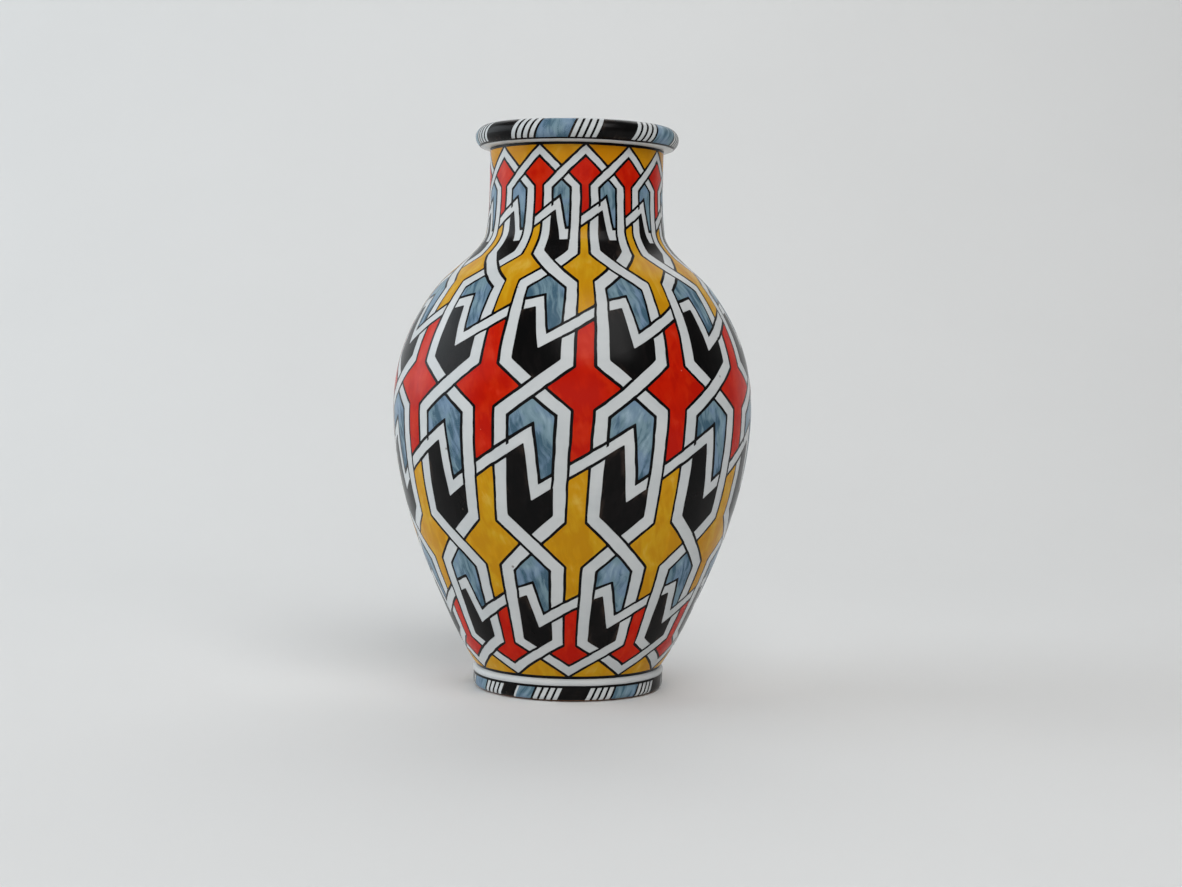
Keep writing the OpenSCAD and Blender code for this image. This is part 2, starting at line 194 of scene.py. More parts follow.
def margin(place, degrees, height, outline):
    """Distance from a place to the nearest edge of its plate, in millimetres."""
    across = math.radians(place(degrees, height, 0).xy.length)
    corners = [Vector((across * (x - degrees), rise_of(place) * (z - height))) for x, z in outline]
    nearest = corners[0].length
    for a, b in zip(corners, corners[1:] + corners[:1]):
        spot_on, share = geometry.intersect_point_line(Vector((0, 0)), a, b)
        nearest = min(nearest, a.length, spot_on.length if 0 < share < 1 else b.length)
    return nearest


def painted(shapes, lift, place, turns, steps, soft=0.0, edge_seed=None, lean=0.0, middle=0.0):
    """Lays flat shapes of (degrees, height) on the vase as thin pigment, repeated at the given turns.

    Each corner list becomes a plate, cut finely so that it follows the glaze and the strokes of the hand.
    The brush layer keeps each place's distance from the middle of its plate, and the plate's number.
    """
    bm = bmesh.new()
    brush = bm.verts.layers.float_vector.new("brush")
    edge = bm.verts.layers.float.new("edge")
    for corners in shapes:
        bm.faces.new([bm.verts.new((x * soft_stretch, 0, z)) for x, z in corners]).normal_update()
    if soft:
        bmesh.ops.bevel(
            bm, geom=bm.verts[:], offset=soft, segments=3, profile=0.5, affect="VERTICES", material=-1
        )
    bmesh.ops.scale(bm, vec=(1 / soft_stretch, 1, 1), verts=bm.verts)
    outlines = [[(v.co.x, v.co.z) for v in face.verts] for face in bm.faces]
    for number, face in enumerate(bm.faces):
        middle_of_face = face.calc_center_bounds()
        for vert in face.verts:
            vert[brush] = (middle_of_face.x, middle_of_face.z, number)
    bmesh.ops.triangulate(bm, faces=bm.faces)
    cut_across(bm, Vector((1, 0, 0)), steps[0])
    cut_across(bm, Vector((0, 0, 1)), steps[1])
    for vert in bm.verts:
        vert[edge] = margin(place, vert.co.x, vert.co.z, outlines[round(vert[brush].z)])
    first = bm.verts[:] + bm.edges[:] + bm.faces[:]
    for number, turn in enumerate(turns[1:], 1):
        made = bmesh.ops.duplicate(bm, geom=first)["geom"]
        copies = [v for v in made if isinstance(v, bmesh.types.BMVert)]
        bmesh.ops.translate(bm, verts=copies, vec=(turn - turns[0], 0, 0))
        for vert in copies:
            vert[brush].x += turn - turns[0]
            vert[brush].z += number * plate_step
    raised = bmesh.ops.extrude_face_region(bm, geom=bm.faces[:])["geom"]
    bmesh.ops.translate(bm, verts=[v for v in raised if isinstance(v, bmesh.types.BMVert)], vec=(0, 1, 0))
    for vert in bm.verts:
        degrees, top, height = vert.co.x, vert.co.y > 0.5, vert.co.z
        lean_by = lean * (place(0, height, 0).z - middle)
        off = lift if top else -paint_root
        vert.co = wrapped(degrees + turns[0], height, off, place, edge_seed, lean_by)
        r = vert.co.xy.length
        vert[brush].x = math.radians(degrees - vert[brush].x) * r
        vert[brush].y = (height - vert[brush].y) * rise_of(place)
    return bm


def wrapped(degrees, height, lift, place, edge_seed, lean_by):
    """A place on the vase, moved as the hand strays, which is less beside the ring lines."""
    still = place(degrees, height, 0)
    stray = hand(still)
    if edge_seed is not None:
        stray += noise.noise_vector(still / ragged_l + Vector((edge_seed, 0, 5))) * ragged_stray
    along = (stray.x + lean_by) / math.radians(still.xy.length)
    if place is on_body:
        height += stray.z * min(1, (height - foot_h) / steady_h, (rim_z - height) / steady_h)
    return place(degrees + along, height, lift)


# Strapwork, as in the part's source but for its tapered ends and wider lines. Places are (degrees, height)
columns = 12
pitch = 360 / columns
pattern_turn = 0.2
pattern_lean = 5.4
strap_w = [4.82, 6.63, 7.3, 6.7]
zig_w = [3.6, 5.19, 5.72, 5.3]
zig_in_w = [4.24, 5.19, 5.72, 5.3]
zig_out_w = [6.36, 5.19, 5.72, 5.3]
strap_at = [0.3, 0.32, 0.317, 0.31]
bend_top = [2.49, 1.689, 1.003, 0.435]
bend_low = [1.868, 1.272, 0.62, 0.148]
zig_high = [2.298, 1.597, 0.923, 0.358]
zig_low = [1.969, 1.384, 0.717, 0.232]
zig_high_at = [-0.08, -0.043, -0.03, -0.053]
zig_low_at = [0.06, 0.047, 0.058, 0.077]
tuck_in = [1.972, 1.568, 0.7755, 0.33]
tuck_out = [2.04, 1.568, 0.7755, 0.33]
crown_level = 2.912
tip_level = 0.032
crown_taper = 0.85
tip_taper = 0.78
thin_line_w = 1.4
pressed_w = 0.38
pressed_z = 160
pressed_h = 45
field_gap = 0.1
line_reach = 0.1
tick_reach = 0.3
overshoot_l = 1.6
crown_gap = 0.3
rows = len(bend_top)


def level_z(level):
    if level <= 1:
        return foot_h + level * lower_body_h
    if level <= 2:
        return belly_z + (level - 1) * upper_body_h
    return neck_z + (level - 2) * neck_h


def spot(share, level):
    z = level_z(level)
    turn = pattern_turn + pattern_lean * (z - foot_h) / (rim_z - foot_h)
    return Vector(((share + 0.5) * pitch + turn, z))


def left_up(k, i):
    return spot(k - strap_at[i], bend_low[i]), spot(k - strap_at[i], bend_top[i]), strap_w[i] / 2


def right_up(k, i):
    return spot(k + strap_at[i], bend_low[i]), spot(k + strap_at[i], bend_top[i]), strap_w[i] / 2


def cross_half(j):
    half = (strap_w[max(j - 1, 0)] + strap_w[min(j, rows - 1)]) / 4
    return half * {0: crown_taper, rows: tip_taper}.get(j, 1)


def falling(k, j):
    start = spot(k - 0.5, crown_level) if j == 0 else left_up(k, j - 1)[0]
    end = spot(k + 0.5, tip_level) if j == rows else right_up(k, j)[1]
    return start, end, cross_half(j)


def rising(k, j):
    start = spot(k - 0.5, tip_level) if j == rows else left_up(k, j)[1]
    end = spot(k + 0.5, crown_level) if j == 0 else right_up(k, j - 1)[0]
    return start, end, cross_half(j)


def peak(k, i):
    return spot(k + zig_high_at[i], zig_high[i])


def dip(k, i):
    return spot(k + zig_low_at[i], zig_low[i])


def dives_left(i):
    """The second and fourth zigzags go under the left strap of the next column."""
    return i % 2 == 1


def tuck(k, i, level):
    return spot(k + 1 - strap_at[i] if dives_left(i) else k + strap_at[i], level)


def zig_in(k, i):
    return tuck(k - 1, i, tuck_out[i]), peak(k, i), zig_in_w[i] / 2


def zig_down(k, i):
    return peak(k, i), dip(k, i), zig_w[i] / 2


def zig_out(k, i):
    return dip(k, i), tuck(k, i, tuck_in[i]), zig_out_w[i] / 2


def zig_between(i):
    return zig_out(0, i) if dives_left(i) else zig_in(1, i)


def flipped(run):
    return run[1], run[0], run[2]


def moved(run, by):
    """A run of strap moved to its left, in millimetres on the glaze."""
    per_degree = math.radians(body_r((run[0].y + run[1].y) / 2))
    along = Vector(((run[1].x - run[0].x) * per_degree, run[1].y - run[0].y))
    aside = Vector((-along.y / per_degree, along.x)) * by / along.length
    return run[0] + aside, run[1] + aside


def meet(a, b):
    u, v, w = a[1] - a[0], b[1] - b[0], b[0] - a[0]
    return a[0] + u * (w.cross(v) / u.cross(v))


def field(runs, inset):
    """Corners of the field to the left of all the runs round it."""
    sides = [moved(run, run[2] + inset) for run in runs]
    return [meet(a, b) for a, b in zip(sides, sides[1:] + sides[:1])]


def cell_above(i):
    over = [right_up(0, i), flipped(falling(0, i)), flipped(rising(0, i)), flipped(left_up(0, i))]
    return over + [zig_in(0, i), zig_down(0, i), zig_out(0, i)]


def cell_below(i):
    under = [falling(0, i + 1), rising(0, i + 1), right_up(0, i)]
    over = [zig_out(0, i), zig_down(0, i), zig_in(0, i), left_up(0, i)]
    return under + [flipped(run) for run in over]


def waist(j):
    """Runs round the field between two columns, from the zigzag above crossing j to the one below it."""
    runs = [flipped(right_up(0, j - 1))] if j > 0 else []
    runs += [flipped(rising(0, j)), falling(0, j)]
    if j < rows:
        runs += [flipped(right_up(0, j)), zig_between(j), left_up(1, j)]
    runs += [rising(1, j), flipped(falling(1, j))]
    if j > 0:
        runs += [left_up(1, j - 1), flipped(zig_between(j - 1))]
    return runs


def level_run(z, sweep):
    return Vector((0, z)), Vector((sweep, z)), 0


def brush_w(z):
    """Width of a drawn line: the brush was pressed hardest round the belly."""
    return thin_line_w + pressed_w * math.exp(-(((z - pressed_z) / pressed_h) ** 2))


def tick(over, side, under):
    """A short line that carries one edge of a strap across the strap below it."""
    near, far = moved(over, side * over[2]), moved(over, side * (over[2] + brush_w(over[0].y)))
    ahead, behind = moved(under, under[2] + tick_reach), moved(under, -under[2] - tick_reach)
    return [meet(near, ahead), meet(near, behind), meet(far, behind), meet(far, ahead)]


def crossing(over, under):
    return [tick(over, side, under) for side in (-1, 1)]


def ticks():
    lines = []
    for j in range(rows + 1):
        pair = (rising(0, j), falling(0, j))
        lines += crossing(*pair) if j % 2 == 0 else crossing(*reversed(pair))
    for i in range(rows):
        over = left_up(1, i) if dives_left(i) else right_up(0, i)
        lines += [tick(over, 1, zig_out(0, i)), tick(over, -1, zig_in(1, i))]
        if dives_left(i):
            lines += crossing(zig_out(0, i), right_up(0, i))
        else:
            lines += crossing(zig_in(0, i), left_up(0, i))
    return lines


def overshoot(i):
    """Where the line along an upright runs a little way onto the zigzag below it."""
    over, under = left_up(0, i), zig_in(0, i)
    near, far = moved(over, -over[2]), moved(over, -over[2] - brush_w(over[0].y))
    start, stop = moved(under, under[2] + tick_reach), moved(under, under[2] - overshoot_l)
    return [meet(near, start), meet(near, stop), meet(far, stop), meet(far, start)]


def upright(share, level):
    """A run straight up, which keeps the outlines over two crowns apart."""
    place = spot(share, level)
    return place, place + Vector((0, 1)), crown_gap / 2


over_crowns = [falling(0, 0), rising(0, 0), level_run(rim_z, -pitch)]
under_tips = [level_run(foot_h, pitch), flipped(falling(0, rows)), flipped(rising(0, rows))]
crown_sides = [upright(0.5, crown_level), over_crowns[2], flipped(upright(-0.5, crown_level))]
between_crowns = over_crowns[:2] + crown_sides
red_runs = [waist(j) for j in range(0, rows + 1, 2)]
yellow_waists = [waist(j) for j in range(1, rows + 1, 2)]
yellow_runs = yellow_waists + [over_crowns, under_tips]
blue_runs = [cell_above(i) for i in range(rows)]
black_runs = [cell_below(i) for i in range(rows)]
round_vase = [c * pitch for c in range(columns)]

# Bands on the rim and the foot: spans are (from, to) in degrees to the right
rim_repeats = 5
rim_turn = 12.5
stripes = 4
stripes_a = 16
stripe_a = 1.4
stripe_pitch = stripes_a / stripes
rim_pitch = 360 / rim_repeats
rim_black_a = (rim_pitch - 2 * stripes_a) * 0.54
rim_band = (-46, 62)
foot_blocks = 10
foot_turn = -4.5
short_pair_a = 21
foot_block_a = (360 - short_pair_a - stripes_a * (foot_blocks + 1)) / foot_blocks
foot_pitch = foot_block_a + stripes_a
foot_band = (bare_edge, seat_z - bead_h - line_w)
foot_mid_z = sum(foot_band) / 2
stripe_lean = 0.45


def zone(start, to_right):
    """Dark stripes of a zone, set against its right end or its left end."""
    first = start + (stripe_pitch - stripe_a if to_right else 0)
    return [(first + n * stripe_pitch, first + n * stripe_pitch + stripe_a) for n in range(stripes)]


def rim_spans():
    black = [(0, rim_black_a)] + zone(rim_black_a, True) + zone(rim_pitch - stripes_a, False)
    blue = [(rim_black_a + stripes_a, rim_pitch - stripes_a)]
    return black, blue


def foot_spans():
    end = foot_turn - stripes_a
    mid = end - short_pair_a / 2
    black = [(end - short_pair_a, mid - stripe_a / 2)] + zone(end, False)
    blue = [(mid + stripe_a / 2, end)]
    for n in range(foot_blocks):
        start = foot_turn + n * foot_pitch
        (blue if n % 2 else black).append((start, start + foot_block_a))
        black += zone(start + foot_block_a, n % 2 == 0)
    return black, blue


def blocks(spans, low, high):
    return [[(a, low), (b, low), (b, high), (a, high)] for a, b in spans]


# Shader helpers
def put(tree, kind, sockets=None, **settings):
    node = tree.nodes.new(kind)
    for name, value in settings.items():
        setattr(node, name, value)
    for name, value in (sockets or {}).items():
        if isinstance(value, bpy.types.NodeSocket):
            tree.links.new(value, node.inputs[name])
        else:
            node.inputs[name].default_value = value
    return node


def sum_of(tree, a, b, operation="ADD"):
    return put(tree, "ShaderNodeMath", {0: a, 1: b}, operation=operation).outputs[0]


def ranged(tree, value, low, high, to_low=0.0, to_high=1.0):
    sockets = {"Value": value, "From Min": low, "From Max": high, "To Min": to_low, "To Max": to_high}
    return put(tree, "ShaderNodeMapRange", sockets).outputs["Result"]


def mixed(tree, factor, a, b):
    return put(tree, "ShaderNodeMix", {0: factor, 6: a, 7: b}, data_type="RGBA").outputs[2]


def grain(tree, vector, scale, detail=2.0, distortion=0.0):
    sockets = {"Vector": vector, "Scale": scale, "Detail": detail, "Distortion": distortion}
    return put(tree, "ShaderNodeTexNoise", sockets).outputs["Fac"]


def stretched(tree, vector, scale):
    return put(tree, "ShaderNodeMapping", {"Vector": vector, "Scale": scale}).outputs["Vector"]


def group(name, inputs, outputs):
    tree = bpy.data.node_groups.new(name, "ShaderNodeTree")
    for socket, kind, value in inputs:
        made = tree.interface.new_socket(socket, in_out="INPUT", socket_type=kind)
        if value is not None:
            made.default_value = value
    for socket, kind in outputs:
        tree.interface.new_socket(socket, in_out="OUTPUT", socket_type=kind)
    return tree, tree.nodes.new("NodeGroupInput").outputs, tree.nodes.new("NodeGroupOutput").inputs


def brushed_pigment():
    """Strokes of a loaded brush, turned from plate to plate: thin where the hair parts, deep in pools."""
    tree, given, out = group(
        "Brushed pigment",
        [
            ("Brush", "NodeSocketVector", None),
            ("Edge", "NodeSocketFloat", 0.0),
            ("Deep", "NodeSocketColor", None),
            ("Plain", "NodeSocketColor", None),
            ("Drift", "NodeSocketColor", None),
            ("Pale", "NodeSocketColor", None),
            ("Streaks", "NodeSocketFloat", 1.0),
            ("Thin Edge And Sheen", "NodeSocketFloat", 0.0),
        ],
        [("Color", "NodeSocketColor"), ("Strokes", "NodeSocketFloat")],
    )
    brush = given["Brush"]
    parts = put(tree, "ShaderNodeSeparateXYZ", {"Vector": brush}).outputs
    chance = put(tree, "ShaderNodeTexWhiteNoise", {"W": parts["Z"]}, noise_dimensions="1D").outputs["Value"]
    bend = put(tree, "ShaderNodeTexNoise", {"Vector": brush, "Scale": 0.07, "Detail": 1.0}).outputs["Color"]
    bent = put(tree, "ShaderNodeVectorMath", {0: bend, 1: (7, 7, 0), 2: brush}, operation="MULTIPLY_ADD")
    angle = ranged(tree, chance, 0.0, 1.0, -0.5, 0.5)
    turned_by = put(tree, "ShaderNodeVectorRotate", {"Vector": bent.outputs[0], "Angle": angle}).outputs[0]
    hairs = grain(tree, stretched(tree, turned_by, (0.34, 0.055, 0.7)), 1.0, 3.0, 0.35)
    pools = grain(tree, stretched(tree, brush, (0.1, 0.07, 1.9)), 1.0, 2.0, 0.4)
    streaky = sum_of(tree, hairs, given["Streaks"], "MULTIPLY")
    strokes = sum_of(tree, sum_of(tree, streaky, pools), sum_of(tree, given["Streaks"], 1.0), "DIVIDE")
    strokes = sum_of(tree, strokes, ranged(tree, chance, 0.0, 1.0, -0.05, 0.05))
    strokes = sum_of(tree, strokes, ranged(tree, parts["Y"], -25.0, 25.0, -0.04, 0.04))
    drift = ranged(tree, grain(tree, stretched(tree, brush, (0.07, 0.05, 2.7)), 1.0, 2.0, 0.5), 0.44, 0.56)
    plain = mixed(tree, drift, given["Plain"], given["Drift"])
    # Pale streaks fall inside a plate, or along its edges when the edge setting is on; on the black, that
    # edge tone is partly painted sheen
    inside = ranged(tree, given["Edge"], 0.5, 3.0)
    outside = sum_of(tree, 1.0, inside, "SUBTRACT")
    where = put(tree, "ShaderNodeMix", {0: given["Thin Edge And Sheen"], 2: inside, 3: outside}).outputs[0]
    thin = sum_of(tree, ranged(tree, strokes, 0.53, 0.67), where, "MULTIPLY")
    dark = mixed(tree, ranged(tree, strokes, 0.4, 0.51), given["Deep"], plain)
    tree.links.new(mixed(tree, thin, dark, given["Pale"]), out["Color"])
    tree.links.new(strokes, out["Strokes"])
    return tree


def kiln_specks():
    """Pinholes and specks, a few to a hand's breadth."""
    tree, given, out = group(
        "Kiln specks",
        [
            ("Place", "NodeSocketVector", None),
            ("Scale", "NodeSocketFloat", 200.0),
            ("Share", "NodeSocketFloat", 0.1),
        ],
        [("Mask", "NodeSocketFloat")],
    )
    cells = put(tree, "ShaderNodeTexVoronoi", {"Vector": given["Place"], "Scale": given["Scale"]})
    dots = ranged(tree, cells.outputs["Distance"], 0.16, 0.08)
    chance = put(tree, "ShaderNodeSeparateColor", {"Color": cells.outputs["Color"]}).outputs["Red"]
    chosen = put(tree, "ShaderNodeMath", {0: chance, 1: given["Share"]}, operation="LESS_THAN").outputs[0]
    tree.links.new(sum_of(tree, dots, chosen, "MULTIPLY"), out["Mask"])
    return tree


def glaze_skin():
    """The fired surface: a fine orange peel over the slow waves that throwing leaves."""
    tree, given, out = group(
        "Glaze skin",
        [("Place", "NodeSocketVector", None), ("Gloss", "NodeSocketFloat", 0.15)],
        [("Height", "NodeSocketFloat"), ("Roughness", "NodeSocketFloat")],
    )
    peel = grain(tree, given["Place"], 420.0, 1.0)
    waves = grain(tree, stretched(tree, given["Place"], (14, 14, 70)), 1.0, 1.0)
    height = sum_of(tree, sum_of(tree, peel, 0.012, "MULTIPLY"), sum_of(tree, waves, 0.07, "MULTIPLY"))
    tree.links.new(height, out["Height"])
    smudge = ranged(tree, grain(tree, given["Place"], 45.0, 3.0), 0.3, 0.7, -0.03, 0.06)
    tree.links.new(sum_of(tree, given["Gloss"], smudge), out["Roughness"])
    return tree


PIGMENT = brushed_pigment()
SPECKS = kiln_specks()
SKIN = glaze_skin()
glaze_shine = 0.09
pigment_gloss = 0.2
amber_low = 300
amber_high = 315


def use(tree, inner, sockets):
    return put(tree, "ShaderNodeGroup", sockets, node_tree=inner).outputs


def new_material(name):
    material = bpy.data.materials.new(name)
    material.use_nodes = True
    tree = material.node_tree
    return material, tree, tree.nodes["Principled BSDF"]


def place_of(tree):
    return put(tree, "ShaderNodeTexCoord").outputs["Object"]


def glazed(tree, shader, color, gloss, extra=None):
    """Feeds a colour and the fired surface to a shader."""
    skin = use(tree, SKIN, {"Place": place_of(tree), "Gloss": gloss})
    height = skin["Height"] if extra is None else sum_of(tree, skin["Height"], extra)
    bump = put(tree, "ShaderNodeBump", {"Height": height, "Distance": mm, "Strength": 1.0})
    tree.links.new(color, shader.inputs["Base Color"])
    tree.links.new(skin["Roughness"], shader.inputs["Roughness"])
    tree.links.new(bump.outputs["Normal"], shader.inputs["Normal"])
    shader.inputs["Specular IOR Level"].default_value = glaze_shine


def pigment_material(name, deep, plain, drift, pale, streaks, speck, specked, thin_edge_and_sheen=0.0, under_rim=None):
    """A fired pigment in four tones, with specks, and another tone under the rim where one is given."""
    material, tree, shader = new_material(name)
    place = place_of(tree)
    brush = put(tree, "ShaderNodeAttribute", attribute_name="brush").outputs["Vector"]
    edge = put(tree, "ShaderNodeAttribute", attribute_name="edge").outputs["Fac"]
    strokes = {"Brush": brush, "Edge": edge, "Streaks": streaks, "Thin Edge And Sheen": thin_edge_and_sheen}
    tones = {"Deep": deep, "Plain": plain, "Drift": drift, "Pale": pale}
    paint = use(tree, PIGMENT, {**strokes, **tones})
    color = paint["Color"]
    if under_rim is not None:
        height = put(tree, "ShaderNodeSeparateXYZ", {"Vector": place}).outputs["Z"]
        plate = put(tree, "ShaderNodeSeparateXYZ", {"Vector": brush}).outputs["Z"]
        chance = put(tree, "ShaderNodeTexWhiteNoise", {"W": plate}, noise_dimensions="1D").outputs["Value"]
        near_rim = ranged(tree, height, amber_low * mm, amber_high * mm)
        strength = ranged(tree, chance, 0.0, 1.0, 0.3, 1.0)
        color = mixed(tree, sum_of(tree, near_rim, strength, "MULTIPLY"), color, under_rim)
    specks = use(tree, SPECKS, {"Place": place, "Scale": 190.0, "Share": specked})
    color = mixed(tree, specks["Mask"], color, speck)
    glazed(tree, shader, color, pigment_gloss, sum_of(tree, paint["Strokes"], 0.05, "MULTIPLY"))
    return material


def white_glaze(name, plain, thin, gloss):
    """Opaque tin glaze with faint brush lines round the form, and the odd pinhole."""
    material, tree, shader = new_material(name)
    place = place_of(tree)
    lines = grain(tree, stretched(tree, place, (9, 9, 260)), 1.0, 2.0, 0.3)
    clouds = grain(tree, place, 28.0, 3.0, 0.5)
    thinness = sum_of(tree, sum_of(tree, lines, 0.2, "MULTIPLY"), sum_of(tree, clouds, 0.8, "MULTIPLY"))
    color = mixed(tree, ranged(tree, thinness, 0.4, 0.66), plain, thin)
    pinholes = use(tree, SPECKS, {"Place": place, "Scale": 150.0, "Share": 0.035})
    color = mixed(tree, sum_of(tree, pinholes["Mask"], 0.75, "MULTIPLY"), color, (0.16, 0.13, 0.11, 1))
    glazed(tree, shader, color, gloss, sum_of(tree, pinholes["Mask"], -0.06, "MULTIPLY"))
    return material


def bare_clay(name, plain, dark):
    material, tree, shader = new_material(name)
    place = place_of(tree)
    grit = grain(tree, place, 900.0, 4.0)
    marks = grain(tree, stretched(tree, place, (30, 30, 700)), 1.0, 2.0)
    color = mixed(tree, ranged(tree, sum_of(tree, grit, marks), 0.8, 1.25), dark, plain)
    height = sum_of(tree, sum_of(tree, grit, 0.05, "MULTIPLY"), sum_of(tree, marks, 0.08, "MULTIPLY"))
    bump = put(tree, "ShaderNodeBump", {"Height": height, "Distance": mm, "Strength": 1.0})
    tree.links.new(color, shader.inputs["Base Color"])
    tree.links.new(ranged(tree, grit, 0.3, 0.7, 0.75, 0.92), shader.inputs["Roughness"])
    tree.links.new(bump.outputs["Normal"], shader.inputs["Normal"])
    return material


tin_white = white_glaze("Tin glaze", (0.63, 0.645, 0.645, 1), (0.56, 0.585, 0.59, 1), 0.2)
liner_white = white_glaze("Liner glaze", (0.60, 0.61, 0.59, 1), (0.50, 0.51, 0.49, 1), 0.25)
red_pigment = pigment_material(
    "Red pigment", (0.49, 0.008, 0.001, 1), (0.56, 0.012, 0.001, 1), (0.57, 0.019, 0.002, 1),
    (0.63, 0.036, 0.012, 1), 0.35, (0.75, 0.30, 0.22, 1), 0.05,
)
yellow_pigment = pigment_material(
    "Yellow pigment", (0.54, 0.245, 0.004, 1), (0.60, 0.32, 0.009, 1), (0.60, 0.285, 0.005, 1),
    (0.67, 0.41, 0.05, 1), 0.5, (0.40, 0.17, 0.01, 1), 0.03, under_rim=(0.58, 0.21, 0.002, 1),
)
blue_pigment = pigment_material(
    "Blue pigment", (0.055, 0.115, 0.165, 1), (0.18, 0.28, 0.33, 1), (0.175, 0.265, 0.37, 1),
    (0.30, 0.41, 0.49, 1), 1.6, (0.04, 0.075, 0.10, 1), 0.06,
)
# Black pigment: its pale brown tone along the plate edges is partly pigment thinning there and partly painted
# sheen
black_pigment = pigment_material(
    "Black pigment", (0.003, 0.003, 0.003, 1), (0.004, 0.0035, 0.0035, 1), (0.006, 0.005, 0.005, 1),
    (0.04, 0.027, 0.021, 1), 0.8, (0.06, 0.05, 0.04, 1), 0.03, thin_edge_and_sheen=1.0,
)
line_pigment = pigment_material(
    "Line pigment", (0.003, 0.003, 0.003, 1), (0.004, 0.0035, 0.004, 1), (0.005, 0.0045, 0.005, 1),
    (0.02, 0.017, 0.018, 1), 1.0, (0.03, 0.03, 0.03, 1), 0.02,
)
clay = bare_clay("Bare clay", (0.46, 0.235, 0.125, 1), (0.27, 0.125, 0.065, 1))
slip = bare_clay("Slip", (0.50, 0.30, 0.18, 1), (0.36, 0.20, 0.11, 1))

# Clay sections and slip keep their solids
for name in ("foot_ring", "lower_body", "upper_body", "neck", "rim_roll"):
    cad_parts[name].data.materials.clear()
    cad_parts[name].data.materials.append(clay)
for name in ("foot_slip", "belly_slip", "neck_slip", "rim_slip"):
    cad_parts[name].data.materials.clear()
    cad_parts[name].data.materials.append(slip)


# Glaze coats
def steps_between(low, high, count):
    return [low + (high - low) * n / count for n in range(count + 1)]


def outer_path(inset, fine):
    """From the bare edge of the foot up the outside to the crown of the rim."""
    foot_zs = steps_between(bare_edge, foot_edge, 3 * fine) + steps_between(seat_z - bead_h, seat_z, 5 * fine)
    path = [(foot_outline(z) - inset, z) for z in foot_zs]
    path += [(body_r(z) - inset, z) for z in steps_between(foot_h, rim_z, 45 * fine)]
    for turn in steps_between(-90, 90, 12 * fine):
        a = math.radians(turn)
        r = crown_r + (rim_r - crown_r - inset) * math.cos(a)
        path.append((r, rim_mid_z + (rim_h / 2 - inset) * math.sin(a)))
    return path


def inner_path(inset, fine):
    """From the floor up the inside to the crown of the rim. The inset is taken from the clay's inner face."""
    reach = glaze_t + wall
    round_z = floor_z + floor_round
    mid_r = body_r(round_z) - reach - floor_round
    path = [(0, floor_z + inset), (mid_r / 2, floor_z + inset)]
    for turn in steps_between(-90, 0, 5 * fine)[:-1]:
        a = math.radians(turn)
        r = floor_round - inset
        path.append((mid_r + r * math.cos(a), round_z + r * math.sin(a)))
    path += [(body_r(z) - reach - inset, z) for z in steps_between(round_z, rim_z, 40 * fine)]
    half_w = crown_r - throat_r + reach + inset
    half_h = rim_h / 2 - glaze_t + inset
    for turn in steps_between(180, 90, 6 * fine)[1:]:
        a = math.radians(turn)
        path.append((crown_r + half_w * math.cos(a), rim_mid_z + half_h * math.sin(a)))
    return path


coat = turned(outer_path(0, 3) + outer_path(glaze_t, 1)[::-1])
finish_piece(coat, "outer_glaze_coat", tin_white, ["outer_glaze"])
liner = turned(inner_path(glaze_t, 2) + inner_path(0, 1)[::-1], closed=False)
finish_piece(liner, "liner_glaze_coat", liner_white, ["liner_glaze"])

# Painted fields, with the dark lines of the straps under their edges
fine = (1.75, 2.6)
field_soft = 0.7
line_soft = 0.25
for name, runs, material, slot in (
    ("red", red_runs, red_pigment, "red_pigment"),
    ("yellow", yellow_runs, yellow_pigment, "yellow_pigment"),
    ("blue", blue_runs, blue_pigment, "blue_pigment"),
    ("black", black_runs, black_pigment, "black_pigment"),
):
    shapes = [field(r, field_gap) for r in runs]
    if name != "black":
        shapes = [field(r, brush_w(sum(c.y for c in s) / len(s))) for r, s in zip(runs, shapes)]
    plates = painted(shapes, field_lift, on_body, round_vase, fine, soft=field_soft)
    finish_piece(plates, name + "_field_paint", material, [name + "_fields"])
lined_runs = red_runs + yellow_waists + [between_crowns, under_tips] + blue_runs
outlines = [field(r, -line_reach) for r in lined_runs]
outlines += ticks() + [overshoot(i) for i in range(rows) if not dives_left(i)]
lines = painted(outlines, line_lift, on_body, round_vase, fine, soft=line_soft, edge_seed=2.0)
finish_piece(lines, "strap_line_paint", line_pigment, ["strap_outlines", "crossing_lines"])

# Bands on the rim and the foot
rim_fine = (2, 6)
foot_fine = (2, 0.6)
paints = (("black", black_pigment), ("blue", blue_pigment))
rim_turns = [rim_turn + n * rim_pitch for n in range(rim_repeats)]
for (name, material), spans in zip(paints, rim_spans()):
    shapes = blocks(spans, *rim_band)
    plates = painted(shapes, band_lift, on_rim, rim_turns, rim_fine, lean=stripe_lean, middle=rim_mid_z)
    finish_piece(plates, "rim_" + name + "_paint", material, ["rim_" + name + "_blocks"])
for (name, material), spans in zip(paints, foot_spans()):
    shapes = blocks(spans, *foot_band)
    plates = painted(shapes, band_lift, on_foot, [0], foot_fine, lean=stripe_lean, middle=foot_mid_z)
    finish_piece(plates, "foot_" + name + "_paint", material, ["foot_" + name + "_blocks"])

# Ring lines. The ones above the foot and under the rim are wider than a brush line: partly painted line,
# partly painted shade where the body meets the foot and the rim
ring_waver = 0.35
ring_gap = 0.1
band_lap = 0.2
# Widths of the lines above the foot and under the rim, which take in painted shade as well as the line itself
low_ring_and_shade_w = 1.8
high_ring_and_shade_w = 1.6
rim_ring_a = 9.8


